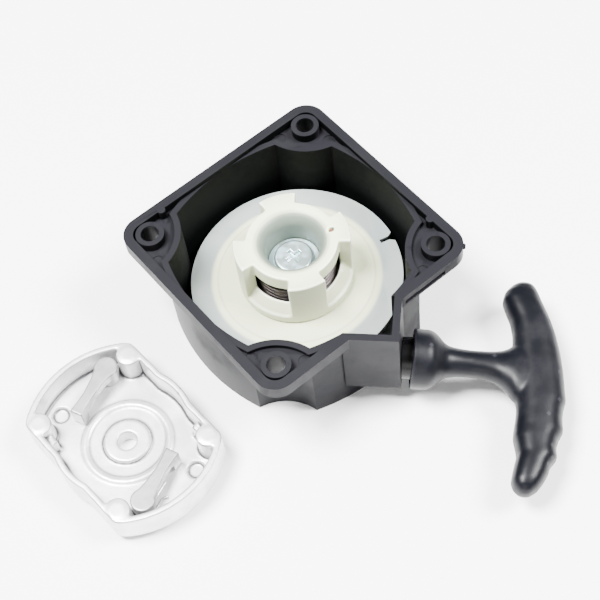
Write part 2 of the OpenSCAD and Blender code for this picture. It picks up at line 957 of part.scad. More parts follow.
housing();
post_insert();
centre_screw();
centre_washer();
thrust_washer();
rope_guide_bush();
spring_anchor_pin();
recoil_spring();
reel();
rope_winding();
reel_knot();
drive_cam();
assist_spring();
handle_grip();
handle_washer();
handle_knot();
rope_lead();
pawl_plate();
pawl(0);  // pawl_1
pawl(1);  // pawl_2
pawl_spring(0);  // pawl_spring_1
pawl_spring(1);  // pawl_spring_2
pawl_clip(0);  // pawl_clip_1
pawl_clip(1);  // pawl_clip_2
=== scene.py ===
"""Recoil starter: the finished look of every piece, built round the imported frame.

Run as a script in Blender 4.5."""

import math

import bmesh
import bpy
from bpy.props import FloatProperty, FloatVectorProperty, IntProperty, PointerProperty
from mathutils import Matrix, Vector


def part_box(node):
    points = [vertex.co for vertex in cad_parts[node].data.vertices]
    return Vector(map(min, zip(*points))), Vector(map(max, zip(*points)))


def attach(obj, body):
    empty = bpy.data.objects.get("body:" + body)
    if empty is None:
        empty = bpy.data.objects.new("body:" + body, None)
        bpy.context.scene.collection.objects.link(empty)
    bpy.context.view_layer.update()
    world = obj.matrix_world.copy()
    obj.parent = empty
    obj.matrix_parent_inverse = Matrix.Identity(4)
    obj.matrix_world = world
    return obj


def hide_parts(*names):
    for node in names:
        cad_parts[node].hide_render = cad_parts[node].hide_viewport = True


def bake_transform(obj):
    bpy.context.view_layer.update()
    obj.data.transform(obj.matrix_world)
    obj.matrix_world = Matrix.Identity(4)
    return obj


bl_info = {
    "name": "Recoil starter",
    "version": (1, 0, 0),
    "blender": (4, 5, 0),
    "location": "View3D > Sidebar > Starter",
    "description": "Builds a small engine's recoil starter with its T handle and pawl plate",
    "category": "Object",
}

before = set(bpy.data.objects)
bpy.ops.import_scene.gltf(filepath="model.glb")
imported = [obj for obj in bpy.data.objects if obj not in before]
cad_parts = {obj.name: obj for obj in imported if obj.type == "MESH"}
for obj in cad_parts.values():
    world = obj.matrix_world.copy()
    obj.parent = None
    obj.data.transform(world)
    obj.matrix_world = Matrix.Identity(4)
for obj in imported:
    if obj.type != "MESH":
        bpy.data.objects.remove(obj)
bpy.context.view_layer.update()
MM = 0.001
QUARTER = math.radians(90)
WELD = 0.002 * MM
ROPE_R = 1.5 * MM

# The bell's mouth stands round the bush's lip, and the handle hangs a little from there
DROOP = math.radians(6)
BELL_OVERLAP = 1.8 * MM
BUSH_LO, BUSH_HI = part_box("rope_guide_bush")
ROPE_AXIS = (BUSH_LO + BUSH_HI) / 2
MOUTH = Vector((BUSH_HI.x - BELL_OVERLAP, ROPE_AXIS.y, ROPE_AXIS.z))


# ---------------------------------------------------------------- sizes and colours a user may change


class StarterFinish(bpy.types.PropertyGroup):
    """Colours and edge softness of the starter's pieces"""

    shell: FloatVectorProperty(
        name="Housing colour",
        description="Base colour of the moulded housing",
        subtype="COLOR",
        size=3,
        min=0,
        max=1,
        default=(0.0058, 0.0058, 0.0075),
    )
    grip: FloatVectorProperty(
        name="Handle colour",
        description="Base colour of the pull handle",
        subtype="COLOR",
        size=3,
        min=0,
        max=1,
        default=(0.0016, 0.0018, 0.0034),
    )
    nylon: FloatVectorProperty(
        name="Nylon colour",
        description="Base colour of the cam and of the reel's middle",
        subtype="COLOR",
        size=3,
        min=0,
        max=1,
        default=(0.53, 0.56, 0.385),
    )
    edge: FloatProperty(
        name="Edge radius",
        description="Softness of the moulded edges",
        subtype="DISTANCE",
        unit="LENGTH",
        default=0.35 * MM,
        min=0.05 * MM,
        max=1 * MM,
    )


class StarterRope(bpy.types.PropertyGroup):
    """Sizes of the rope and its winding"""

    columns: IntProperty(
        name="Turns side by side",
        description="Turns of rope across the reel's groove",
        default=3,
        min=2,
        max=3,
    )
    strands: IntProperty(
        name="Braid strands",
        description="Strands seen round the rope",
        default=8,
        min=4,
        max=16,
    )


class StarterStage(bpy.types.PropertyGroup):
    """Where the camera stands and how bright the studio is"""

    azimuth: FloatProperty(
        name="Azimuth",
        description="Camera angle to the right of the front",
        subtype="ANGLE",
        unit="ROTATION",
        default=math.radians(12.994),
    )
    elevation: FloatProperty(
        name="Elevation",
        description="Camera angle above the floor",
        subtype="ANGLE",
        unit="ROTATION",
        default=math.radians(57.753),
    )
    roll: FloatProperty(
        name="Roll",
        description="Camera roll about its own line of sight",
        subtype="ANGLE",
        unit="ROTATION",
        default=math.radians(-8.776),
    )
    distance: FloatProperty(
        name="Distance",
        description="From the camera to the point it looks at",
        subtype="DISTANCE",
        unit="LENGTH",
        default=461.62 * MM,
    )
    lens: FloatProperty(name="Lens", description="Focal length in millimetres", default=87, min=20, max=200)
    floor: FloatVectorProperty(
        name="Floor colour",
        description="Colour of the pale floor",
        subtype="COLOR",
        size=3,
        min=0,
        max=1,
        default=(0.97, 0.97, 0.97),
    )


# ---------------------------------------------------------------- shader node groups shared by the finishes


def group_tree(name, inputs, outputs):
    """A new shader group with its sockets; returns the tree, its input node and its output node."""
    tree = bpy.data.node_groups.new(name, "ShaderNodeTree")
    for label, kind, value in inputs:
        socket = tree.interface.new_socket(name=label, in_out="INPUT", socket_type=kind)
        socket.default_value = value
    for label, kind in outputs:
        tree.interface.new_socket(name=label, in_out="OUTPUT", socket_type=kind)
    return tree, tree.nodes.new("NodeGroupInput"), tree.nodes.new("NodeGroupOutput")


def noise(tree, vector, scale, detail=3, rough=0.55):
    """A noise texture; scale is a number or an output socket."""
    node = tree.nodes.new("ShaderNodeTexNoise")
    node.inputs["Detail"].default_value = detail
    node.inputs["Roughness"].default_value = rough
    tree.links.new(vector, node.inputs["Vector"])
    if isinstance(scale, (int, float)):
        node.inputs["Scale"].default_value = scale
    else:
        tree.links.new(scale, node.inputs["Scale"])
    return node.outputs["Fac"]


def maths(tree, how, a, b=0.0, c=None):
    """One sum; a, b and c are numbers or output sockets."""
    node = tree.nodes.new("ShaderNodeMath")
    node.operation = how
    for i, value in enumerate((a, b) if c is None else (a, b, c)):
        if isinstance(value, (int, float)):
            node.inputs[i].default_value = value
        else:
            tree.links.new(value, node.inputs[i])
    return node.outputs[0]


def ramp(tree, value, low, high, to_low=0.0, to_high=1.0):
    """A soft step from to_low at low to to_high at high."""
    node = tree.nodes.new("ShaderNodeMapRange")
    node.interpolation_type = "SMOOTHSTEP"
    tree.links.new(value, node.inputs["Value"])
    for label, number in (("From Min", low), ("From Max", high), ("To Min", to_low), ("To Max", to_high)):
        node.inputs[label].default_value = number
    return node.outputs["Result"]


def blend_colours(tree, factor, a, b):
    """Colour a turned into b by factor; each is a colour or an output socket."""
    node = tree.nodes.new("ShaderNodeMix")
    node.data_type = "RGBA"
    tree.links.new(factor, node.inputs[0])
    for index, value in ((6, a), (7, b)):
        if isinstance(value, (tuple, list)):
            node.inputs[index].default_value = (*value, 1.0)
        else:
            tree.links.new(value, node.inputs[index])
    return node.outputs[2]


def make_moulding_group():
    """Fine grain, flow mottling, handling smudges, and masks of the convex edges and the hollows of a moulded
    or cast surface, through which the finishes paint highlight, dark edge lines and shade.
    """
    tree, given, out = group_tree(
        "moulded surface",
        [("Grain Scale", "NodeSocketFloat", 3000.0), ("Mottle Scale", "NodeSocketFloat", 60.0)],
        [
            ("Height", "NodeSocketFloat"),
            ("Mottle", "NodeSocketFloat"),
            ("Smudge", "NodeSocketFloat"),
            ("Edge", "NodeSocketFloat"),
            ("Hollow", "NodeSocketFloat"),
        ],
    )
    place = tree.nodes.new("ShaderNodeTexCoord").outputs["Object"]
    grain = noise(tree, place, given.outputs["Grain Scale"], 4, 0.6)
    mottle = noise(tree, place, given.outputs["Mottle Scale"], 5, 0.6)
    smudge = ramp(tree, noise(tree, place, 38.0, 6, 0.65), 0.48, 0.68)
    geometry = tree.nodes.new("ShaderNodeNewGeometry")
    edge = ramp(tree, geometry.outputs["Pointiness"], 0.508, 0.56)
    hollow = ramp(tree, geometry.outputs["Pointiness"], 0.465, 0.497, 1.0, 0.0)
    height = maths(tree, "ADD", grain, maths(tree, "MULTIPLY", mottle, 0.6))
    for label, value in (
        ("Height", height),
        ("Mottle", mottle),
        ("Smudge", smudge),
        ("Edge", edge),
        ("Hollow", hollow),
    ):
        tree.links.new(value, out.inputs[label])
    return tree


def make_drawn_metal_group():
    """Fine lines and stains of drawn, turned or rolled metal."""
    tree, given, out = group_tree(
        "drawn metal",
        [("Line Scale", "NodeSocketFloat", 900.0), ("Stretch", "NodeSocketVector", (1.0, 1.0, 12.0))],
        [("Height", "NodeSocketFloat"), ("Stain", "NodeSocketFloat"), ("Edge", "NodeSocketFloat")],
    )
    place = tree.nodes.new("ShaderNodeTexCoord").outputs["Object"]
    squeeze = tree.nodes.new("ShaderNodeVectorMath")
    squeeze.operation = "MULTIPLY"
    tree.links.new(place, squeeze.inputs[0])
    tree.links.new(given.outputs["Stretch"], squeeze.inputs[1])
    lines = noise(tree, squeeze.outputs[0], given.outputs["Line Scale"], 3, 0.6)
    stain = ramp(tree, noise(tree, place, 260.0, 5, 0.6), 0.42, 0.66)
    geometry = tree.nodes.new("ShaderNodeNewGeometry")
    edge = ramp(tree, geometry.outputs["Pointiness"], 0.52, 0.60)
    tree.links.new(lines, out.inputs["Height"])
    tree.links.new(stain, out.inputs["Stain"])
    tree.links.new(edge, out.inputs["Edge"])
    return tree


# Crossings of the strands in a metre of rope
LAYS_PER_METRE = 520.0


def make_braid_group():
    """Crossing strands of a braided rope, from the way round it and the way along it, with painted shade in
    the grooves between them.
    """
    tree, given, out = group_tree(
        "rope braid",
        [
            ("Round", "NodeSocketFloat", 0.0),
            ("Along", "NodeSocketFloat", 0.0),
            ("Strands", "NodeSocketFloat", 8.0),
        ],
        [("Height", "NodeSocketFloat"), ("Shade", "NodeSocketFloat")],
    )
    turns = maths(tree, "MULTIPLY", given.outputs["Round"], given.outputs["Strands"])
    lays = maths(tree, "MULTIPLY", given.outputs["Along"], LAYS_PER_METRE)
    one = maths(tree, "SINE", maths(tree, "MULTIPLY", maths(tree, "ADD", turns, lays), math.pi))
    two = maths(tree, "SINE", maths(tree, "MULTIPLY", maths(tree, "SUBTRACT", turns, lays), math.pi))
    weave = maths(tree, "ABSOLUTE", maths(tree, "MULTIPLY", one, two))
    tree.links.new(maths(tree, "POWER", weave, 0.5), out.inputs["Height"])
    # Shade is painted shade: low in the grooves between strand crossings
    tree.links.new(ramp(tree, weave, 0.0, 0.35, 0.55, 1.0), out.inputs["Shade"])
    return tree


# ---------------------------------------------------------------- finishes

FINISH = {}


def start_finish(name, rough, metal=0.0):
    """A new material, kept under its name; returns its tree and its shader."""
    material = bpy.data.materials.new(name)
    material.use_nodes = True
    tree = material.node_tree
    shader = tree.nodes["Principled BSDF"]
    shader.inputs["Roughness"].default_value = rough
    shader.inputs["Metallic"].default_value = metal
    FINISH[name] = material
    return tree, shader


def place_group(tree, group, **values):
    """A shared group with this material's own values; _ stands for a space in a socket's name."""
    node = tree.nodes.new("ShaderNodeGroup")
    node.node_tree = group
    for label, value in values.items():
        node.inputs[label.replace("_", " ")].default_value = value
    return node


def lay_over(tree, base, mask, strength, colour):
    """The base colour with another over it where the mask is strong."""
    return blend_colours(tree, maths(tree, "MULTIPLY", mask, strength), base, colour)


def times(colour, factor):
    """A colour made darker or lighter."""
    return tuple(min(1.0, c * factor) for c in colour)


def add_bump(tree, shader, height, distance, strength):
    """Feeds the shader's normal from a height, distance deep in metres."""
    bump = tree.nodes.new("ShaderNodeBump")
    bump.inputs["Strength"].default_value = strength
    bump.inputs["Distance"].default_value = distance
    tree.links.new(height, bump.inputs["Height"])
    tree.links.new(bump.outputs["Normal"], shader.inputs["Normal"])


def moulded_finish(name, group, colour, rough, gloss, painted_edge, stain):
    """Moulded plastic: mottled colour, a painted highlight along the convex edges, smudged gloss and a fine
    grain.
    """
    tree, shader = start_finish(name, rough)
    node = place_group(tree, group, Grain_Scale=2600.0, Mottle_Scale=70.0)
    base = blend_colours(tree, ramp(tree, node.outputs["Mottle"], 0.3, 0.7), times(colour, 0.86), colour)
    base = lay_over(tree, base, node.outputs["Smudge"], 0.35, stain)
    # Painted highlight: a paler colour laid over the convex edges
    base = lay_over(tree, base, node.outputs["Edge"], 0.6, painted_edge)
    tree.links.new(base, shader.inputs["Base Color"])
    smudged = maths(tree, "MULTIPLY_ADD", node.outputs["Smudge"], 0.12, rough)
    tree.links.new(smudged, shader.inputs["Roughness"])
    shader.inputs["Specular IOR Level"].default_value = gloss
    add_bump(tree, shader, node.outputs["Height"], 0.012 * MM, 0.5)
    return tree, shader


def metal_finish(name, group, colour, rough, stain, stretch, lines):
    """Metal with drawn or turned lines, stains and a painted highlight along its edges."""
    tree, shader = start_finish(name, rough, 1.0)
    node = place_group(tree, group, Line_Scale=lines, Stretch=(1.0, 1.0, stretch))
    base = lay_over(tree, colour, node.outputs["Stain"], 0.6, stain)
    # Painted highlight: a lighter copy of the metal's colour over its convex edges
    bright = tuple(min(1.0, c * 1.35 + 0.05) for c in colour)
    base = lay_over(tree, base, node.outputs["Edge"], 0.7, bright)
    tree.links.new(base, shader.inputs["Base Color"])
    dulled = maths(tree, "MULTIPLY_ADD", node.outputs["Stain"], 0.2, rough)
    tree.links.new(dulled, shader.inputs["Roughness"])
    add_bump(tree, shader, node.outputs["Height"], 0.01 * MM, 0.6)
    return tree, shader


def place_xyz(tree):
    """The sockets X, Y and Z of a point's place; Z is its height above the floor."""
    apart = tree.nodes.new("ShaderNodeSeparateXYZ")
    tree.links.new(tree.nodes.new("ShaderNodeTexCoord").outputs["Object"], apart.inputs[0])
    return apart.outputs


def axis_distance(tree):
    """Distance from the reel's axis, which is the frame's own Z."""
    place = place_xyz(tree)
    squares = [maths(tree, "MULTIPLY", place[side], place[side]) for side in "XY"]
    return maths(tree, "SQRT", maths(tree, "ADD", *squares))


def facing_axis(tree):
    """How squarely a surface faces the reel's axis: 1 on the inside of the drum, below 0 on its outside."""
    place = tree.nodes.new("ShaderNodeTexCoord")
    flat = tree.nodes.new("ShaderNodeVectorMath")
    flat.operation = "MULTIPLY"
    flat.inputs[1].default_value = (-1.0, -1.0, 0.0)
    tree.links.new(place.outputs["Object"], flat.inputs[0])
    inward = tree.nodes.new("ShaderNodeVectorMath")
    inward.operation = "NORMALIZE"
    tree.links.new(flat.outputs[0], inward.inputs[0])
    dot = tree.nodes.new("ShaderNodeVectorMath")
    dot.operation = "DOT_PRODUCT"
    tree.links.new(inward.outputs[0], dot.inputs[0])
    tree.links.new(place.outputs["Normal"], dot.inputs[1])
    return dot.outputs["Value"]


def shade_inside(tree, shader, colour, duller):
    """Paints shade on the walls that face the reel's axis: a darker colour there, and a duller gloss."""
    inside = ramp(tree, facing_axis(tree), 0.15, 0.7)
    base = shader.inputs["Base Color"].links[0].from_socket
    tree.links.new(blend_colours(tree, inside, base, colour), shader.inputs["Base Color"])
    rough = shader.inputs["Roughness"].links[0].from_socket
    tree.links.new(maths(tree, "MULTIPLY_ADD", inside, duller, rough), shader.inputs["Roughness"])


def nylon_finish(name, group, near, far, from_r, to_r, line_r=0.0, edge_highlight=0.5):
    """Natural nylon that turns thin and bluish away from the axis, with a moulded line at line_r."""
    tree, shader = start_finish(name, 0.42)
    node = place_group(tree, group, Grain_Scale=1800.0, Mottle_Scale=55.0)
    radius = axis_distance(tree)
    base = blend_colours(tree, ramp(tree, radius, from_r, to_r), near, far)
    from_line = maths(tree, "ABSOLUTE", maths(tree, "SUBTRACT", radius, line_r))
    base = blend_colours(tree, ramp(tree, from_line, 0.1 * MM, 0.5 * MM, 0.45, 0.0), base, times(near, 0.55))
    base = lay_over(tree, base, ramp(tree, node.outputs["Mottle"], 0.3, 0.75), 0.16, times(near, 0.82))
    # Painted highlight: near white laid over the convex edges
    base = lay_over(tree, base, node.outputs["Edge"], edge_highlight, (0.95, 0.95, 0.92))
    tree.links.new(base, shader.inputs["Base Color"])
    gloss = maths(tree, "MULTIPLY_ADD", node.outputs["Smudge"], 0.15, 0.38)
    tree.links.new(gloss, shader.inputs["Roughness"])
    shader.inputs["Subsurface Weight"].default_value = 0.35
    shader.inputs["Subsurface Radius"].default_value = (1.0, 0.95, 0.75)
    shader.inputs["Subsurface Scale"].default_value = 1.6 * MM
    add_bump(tree, shader, node.outputs["Height"], 0.01 * MM, 0.4)
    return tree, shader


def copper_tip(tree, shader, above):
    """A copper-washed end on wire that stands higher than above."""
    tip = ramp(tree, place_xyz(tree)["Z"], above, above + 0.8 * MM)
    base = shader.inputs["Base Color"].links[0].from_socket
    tree.links.new(blend_colours(tree, tip, base, (0.50, 0.24, 0.15)), shader.inputs["Base Color"])


def cast_finish(name, group, colour, rough, painted_edge, hollow_shade):
    """Tumbled casting or sintered steel: bright skin, pitted grain, painted dark lines along the convex edges
    and painted shade in the hollows.
    """
    tree, shader = start_finish(name, rough, 0.55)
    node = place_group(tree, group, Grain_Scale=900.0, Mottle_Scale=160.0)
    base = blend_colours(tree, ramp(tree, node.outputs["Mottle"], 0.35, 0.7), times(colour, 0.8), colour)
    # Painted shade: dark lines along the convex edges, then a dark colour in the hollows
    base = lay_over(tree, base, node.outputs["Edge"], 0.7, painted_edge)
    base = lay_over(tree, base, node.outputs["Hollow"], 0.9, hollow_shade)
    tree.links.new(base, shader.inputs["Base Color"])
    smudged = maths(tree, "MULTIPLY_ADD", node.outputs["Smudge"], 0.14, rough)
    tree.links.new(smudged, shader.inputs["Roughness"])
    add_bump(tree, shader, node.outputs["Height"], 0.05 * MM, 0.6)


def stored_value(tree, label):
    """A value that the wire tree stored on the mesh."""
    node = tree.nodes.new("ShaderNodeAttribute")
    node.attribute_name = label
    return node.outputs["Fac"]


def rope_finish(name, group, strands, along_x=False):
    """Braided nylon, its strands laid by the way along its curve, or by X where the rope is stretched."""
    tree, shader = start_finish(name, 0.75)
    node = place_group(tree, group, Strands=float(strands))
    along = place_xyz(tree)["X"] if along_x else stored_value(tree, "way_along")
    tree.links.new(stored_value(tree, "way_round"), node.inputs["Round"])
    tree.links.new(along, node.inputs["Along"])
    place = tree.nodes.new("ShaderNodeTexCoord").outputs["Object"]
    fuzz = noise(tree, place, 4200.0, 3, 0.7)
    # Painted shade: the darker colour in the braid's grooves, the paler on the strands' crowns
    base = blend_colours(tree, node.outputs["Shade"], (0.30, 0.29, 0.26), (0.74, 0.72, 0.66))
    base = lay_over(tree, base, fuzz, 0.3, (0.5, 0.49, 0.45))
    tree.links.new(base, shader.inputs["Base Color"])
    shader.inputs["Sheen Weight"].default_value = 0.3
    height = maths(tree, "ADD", node.outputs["Height"], maths(tree, "MULTIPLY", fuzz, 0.25))
    add_bump(tree, shader, height, 0.2 * MM, 0.8)


# Each metal's colour, roughness, stain, how far its lines are drawn out along Z, and their scale
METALS = {
    "zinc": ((0.52, 0.62, 0.63), 0.34, (0.22, 0.42, 0.46), 1.0, 1200.0),
    "brass": ((0.78, 0.58, 0.28), 0.28, (0.5, 0.35, 0.18), 9.0, 900.0),
    "bright wire": ((0.42, 0.42, 0.43), 0.28, (0.25, 0.25, 0.27), 1.0, 1500.0),
    "blued strip": ((0.20, 0.23, 0.32), 0.26, (0.30, 0.26, 0.22), 14.0, 900.0),
    "spring wire": ((0.05, 0.042, 0.042), 0.34, (0.10, 0.08, 0.07), 1.0, 1500.0),
}


def make_finishes():
    """Every finish of the starter, with the colours set in the panel."""
    look = bpy.context.scene.starter_finish
    strands = bpy.context.scene.starter_rope.strands
    moulding = make_moulding_group()
    drawn = make_drawn_metal_group()
    braid = make_braid_group()

    shell, grip, nylon = tuple(look.shell), tuple(look.grip), tuple(look.nylon)
    # Each moulded finish: colour, roughness, gloss, then the colour of its painted edge highlight and of its
    # smudge stain
    walls = moulded_finish("shell", moulding, shell, 0.42, 0.07, (0.010, 0.010, 0.012), (0.009, 0.009, 0.010))
    # Painted shade on the housing's walls that face the axis: its inner drum and bolt holes
    shade_inside(*walls, (0.0003, 0.0006, 0.0007), 0.25)
    moulded_finish("grip", moulding, grip, 0.37, 0.16, (0.02, 0.02, 0.025), (0.010, 0.010, 0.013))
    black = (0.002, 0.002, 0.0025)
    moulded_finish("bush", moulding, black, 0.24, 0.15, (0.004, 0.004, 0.004), (0.003, 0.003, 0.003))

    thin = (0.21, 0.245, 0.245)
    # The reel's last number, and the cam's default, is the strength of the near-white painted edge highlight
    nylon_finish("reel nylon", moulding, nylon, thin, 26.6 * MM, 28.2 * MM, 25.3 * MM, 0.04)
    cam = nylon_finish("cam nylon", moulding, times(nylon, 1.25), nylon, 13 * MM, 19 * MM)
    # Painted shade inside the cam's bowl and on its other walls that face the axis
    shade_inside(*cam, (0.13, 0.16, 0.13), 0.1)

    metals = {name: metal_finish(name, drawn, *values) for name, values in METALS.items()}
    copper_tip(*metals["spring wire"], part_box("drive_cam")[1].z - 3.2 * MM)
    # Each cast finish: colour, roughness, the painted dark edge line colour and the painted shade colour for
    # the hollows
    cast_finish("pawl steel", moulding, (0.36, 0.36, 0.36), 0.34, (0.09, 0.09, 0.09), (0.05, 0.05, 0.05))
    cast_finish("cast plate", moulding, (0.78, 0.78, 0.78), 0.36, (0.13, 0.13, 0.135), (0.02, 0.02, 0.025))
    rope_finish("rope on reel", braid, strands)
    rope_finish("rope lead", braid, strands, along_x=True)


# ---------------------------------------------------------------- mesh helpers


def add_piece(name, mesh, finish):
    """Links a mesh at the origin with one finish on it."""
    piece = bpy.data.objects.new(name, mesh)
    bpy.context.scene.collection.objects.link(piece)
    mesh.materials.clear()
    mesh.materials.append(FINISH[finish])
    return piece


def mesh_from(bm, name):
    """A smooth-shaded mesh from bm, which is freed."""
    mesh = bpy.data.meshes.new(name)
    bm.to_mesh(mesh)
    bm.free()
    for face in mesh.polygons:
        face.use_smooth = True
    return mesh


def soft_edges(piece, width, angle, rows):
    """A live bevel on the edges sharper than angle."""
    bevel = piece.modifiers.new("soft edges", "BEVEL")
    bevel.width = width
    bevel.segments = rows
    bevel.limit_method = "ANGLE"
    bevel.angle_limit = math.radians(angle)
    bevel.use_clamp_overlap = True
    even = piece.modifiers.new("even shading", "WEIGHTED_NORMAL")
    even.mode = "FACE_AREA"
    even.weight = 60
    even.keep_sharp = True
    return piece


def settle(piece, body, node):
    """Hands a finished piece to its body and hides the CAD node it stands for."""
    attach(piece, body)
    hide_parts(node)


def welded(node):
    """A CAD node's loose triangles joined at their corners."""
    bm = bmesh.new()
    bm.from_mesh(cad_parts[node].data)
    bmesh.ops.remove_doubles(bm, verts=bm.verts, dist=WELD)
    return bm


def frame_copy(node, name, finish, edge, angle=28, rows=2):
    """A copy of a CAD node with its coplanar triangles joined and its edges softened."""
    bm = welded(node)
    flat = math.radians(0.5)
    bmesh.ops.dissolve_limit(bm, angle_limit=flat, verts=bm.verts, edges=bm.edges, delimit={"NORMAL"})
    for layer in list(bm.loops.layers.uv):
        bm.loops.layers.uv.remove(layer)
    mesh = mesh_from(bm, name)
    if mesh.attributes.get("custom_normal"):
        mesh.attributes.remove(mesh.attributes["custom_normal"])
    piece = add_piece(name, mesh, finish)
    return soft_edges(piece, edge, angle, rows)


def applied(piece):
    """The piece's mesh with its modifiers applied; the piece itself goes."""
    bpy.context.view_layer.update()
    graph = bpy.context.evaluated_depsgraph_get()
    mesh = bpy.data.meshes.new_from_object(piece.evaluated_get(graph))
    bpy.data.objects.remove(piece)
    return mesh


def even_skin(piece, size):
    """A live voxel skin of one size all over."""
    skin = piece.modifiers.new("skin", "REMESH")
    skin.mode = "VOXEL"
    skin.voxel_size = size
    skin.use_smooth_shade = True


def cast_copy(node, name, finish, size=0.45 * MM, rounds=2):
    """A copy of a CAD node as a casting: an even skin with its sharp edges and inside corners rounded off."""
    piece = add_piece(name, mesh_from(welded(node), name), finish)
    even_skin(piece, size)
    smooth = piece.modifiers.new("rounding", "SMOOTH")
    smooth.factor = 0.5
    smooth.iterations = rounds
    return add_piece(name, applied(piece), finish)


def turned(profile, steps=96):
    """A closed shape turned about +Z from (radius, height) points in metres, with both ends on the axis."""
    bm = bmesh.new()
    rings = []
    for r, z in profile:
        if r == 0:
            rings.append([bm.verts.new((0, 0, z))])
            continue
        turns = [2 * math.pi * k / steps for k in range(steps)]
        rings.append([bm.verts.new((r * math.cos(t), r * math.sin(t), z)) for t in turns])
    for low, high in zip(rings, rings[1:]):
        for k in range(steps):
            k2 = (k + 1) % steps
            corners = [low[k % len(low)], low[k2 % len(low)], high[k2 % len(high)], high[k % len(high)]]
            unique = list(dict.fromkeys(corners))
            if len(unique) > 2:
                bm.faces.new(unique)
    bmesh.ops.recalc_face_normals(bm, faces=bm.faces)
    return bm


def loft(stations, power, sides=40):
    """A closed shape along Y through sections given as (centre, half width along X, half height along Z).

    power 2 makes the sections ellipses; a higher one squares their corners."""
    bm = bmesh.new()
    rings = []
    for centre, half_x, half_z in stations:
        ring = []
        for k in range(sides):
            t = 2 * math.pi * k / sides
            c, s = math.cos(t), math.sin(t)
            x = math.copysign(abs(c) ** (2 / power), c) * half_x
            z = math.copysign(abs(s) ** (2 / power), s) * half_z
            ring.append(bm.verts.new((centre[0] + x, centre[1], centre[2] + z)))
        rings.append(ring)
    for low, high in zip(rings, rings[1:]):
        for k in range(sides):
            k2 = (k + 1) % sides
            bm.faces.new((low[k], low[k2], high[k2], high[k]))
    bm.faces.new(rings[0])
    bm.faces.new(list(reversed(rings[-1])))
    bmesh.ops.recalc_face_normals(bm, faces=bm.faces)
    return bm


# ---------------------------------------------------------------- geometry nodes: wire and rope along a path


def make_wire_tree():
    """Round wire along a curve, with the way along and round it stored for braids."""
    tree = bpy.data.node_groups.new("wire along a path", "GeometryNodeTree")
    face = tree.interface
    face.new_socket(name="Geometry", in_out="INPUT", socket_type="NodeSocketGeometry")
    radius = face.new_socket(name="Wire Radius", in_out="INPUT", socket_type="NodeSocketFloat")
    radius.default_value = 0.5 * MM
    sides = face.new_socket(name="Sides", in_out="INPUT", socket_type="NodeSocketInt")
    sides.default_value = 12
    face.new_socket(name="Finish", in_out="INPUT", socket_type="NodeSocketMaterial")
    face.new_socket(name="Geometry", in_out="OUTPUT", socket_type="NodeSocketGeometry")
    nodes, links = tree.nodes, tree.links
    given, out = nodes.new("NodeGroupInput"), nodes.new("NodeGroupOutput")
    circle = nodes.new("GeometryNodeCurvePrimitiveCircle")
    links.new(given.outputs["Sides"], circle.inputs["Resolution"])
    links.new(given.outputs["Wire Radius"], circle.inputs["Radius"])

    def stored(geometry, label, output):
        """Keeps a spline's own parameter on its points, for the rope's braid to read."""
        parameter = nodes.new("GeometryNodeSplineParameter")
        store = nodes.new("GeometryNodeStoreNamedAttribute")
        store.data_type = "FLOAT"
        store.domain = "POINT"
        store.inputs["Name"].default_value = label
        links.new(geometry, store.inputs["Geometry"])
        links.new(parameter.outputs[output], store.inputs["Value"])
        return store.outputs["Geometry"]

    path = stored(given.outputs["Geometry"], "way_along", "Length")
    profile = stored(circle.outputs["Curve"], "way_round", "Factor")
    sweep = nodes.new("GeometryNodeCurveToMesh")
    sweep.inputs["Fill Caps"].default_value = True
    links.new(path, sweep.inputs["Curve"])
    links.new(profile, sweep.inputs["Profile Curve"])
    smooth = nodes.new("GeometryNodeSetShadeSmooth")
    real = nodes.new("GeometryNodeRealizeInstances")
    paint = nodes.new("GeometryNodeSetMaterial")
    links.new(sweep.outputs["Mesh"], smooth.inputs["Geometry"])
    links.new(smooth.outputs["Geometry"], real.inputs["Geometry"])
    links.new(real.outputs["Geometry"], paint.inputs["Geometry"])
    links.new(given.outputs["Finish"], paint.inputs["Material"])
    links.new(paint.outputs["Geometry"], out.inputs["Geometry"])
    return tree


def wire(name, paths, radius, sides, finish):
    """One mesh of round wire along each path, made by the wire tree."""
    tree = bpy.data.node_groups.get("wire along a path") or make_wire_tree()
    curve = bpy.data.curves.new(name + " path", "CURVE")
    curve.dimensions = "3D"
    for path in paths:
        spline = curve.splines.new("POLY")
        spline.points.add(len(path) - 1)
        for point, place in zip(spline.points, path):
            point.co = (*place, 1.0)
    guide = bpy.data.objects.new(name + " guide", curve)
    bpy.context.scene.collection.objects.link(guide)
    modifier = guide.modifiers.new("wire", "NODES")
    modifier.node_group = tree
    sockets = {item.name: item.identifier for item in tree.interface.items_tree if item.in_out == "INPUT"}
    modifier[sockets["Wire Radius"]] = radius
    modifier[sockets["Sides"]] = sides
    modifier[sockets["Finish"]] = FINISH[finish]
    bpy.context.view_layer.update()
    graph = bpy.context.evaluated_depsgraph_get()
    mesh = bpy.data.meshes.new_from_object(guide.evaluated_get(graph))
    bpy.data.objects.remove(guide)
    mesh.name = name
    return add_piece(name, mesh, finish)


def helix(r, z0, z1, turns, start, steps=32):
    """Points of a coil about the frame's Z, from z0 to z1, that starts at the angle start."""
    count = int(turns * steps)
    return [
        (
            r * math.cos(start + 2 * math.pi * i / steps),
            r * math.sin(start + 2 * math.pi * i / steps),
            z0 + (z1 - z0) * i / count,
        )
        for i in range(count + 1)
    ]


def smooth_path(points, steps=6):
    """A Catmull-Rom curve through the points."""
    ends = [points[0], *points, points[-1]]
    path = []
    for a, b, c, d in zip(ends, ends[1:], ends[2:], ends[3:]):
        a, b, c, d = Vector(a), Vector(b), Vector(c), Vector(d)
        for k in range(steps):
            t = k / steps
            square = (2 * a - 5 * b + 4 * c - d) * t * t
            cube = (3 * b - a - 3 * c + d) * t ** 3
            path.append(tuple(0.5 * (2 * b + (c - a) * t + square + cube)))
    path.append(tuple(points[-1]))
    return path


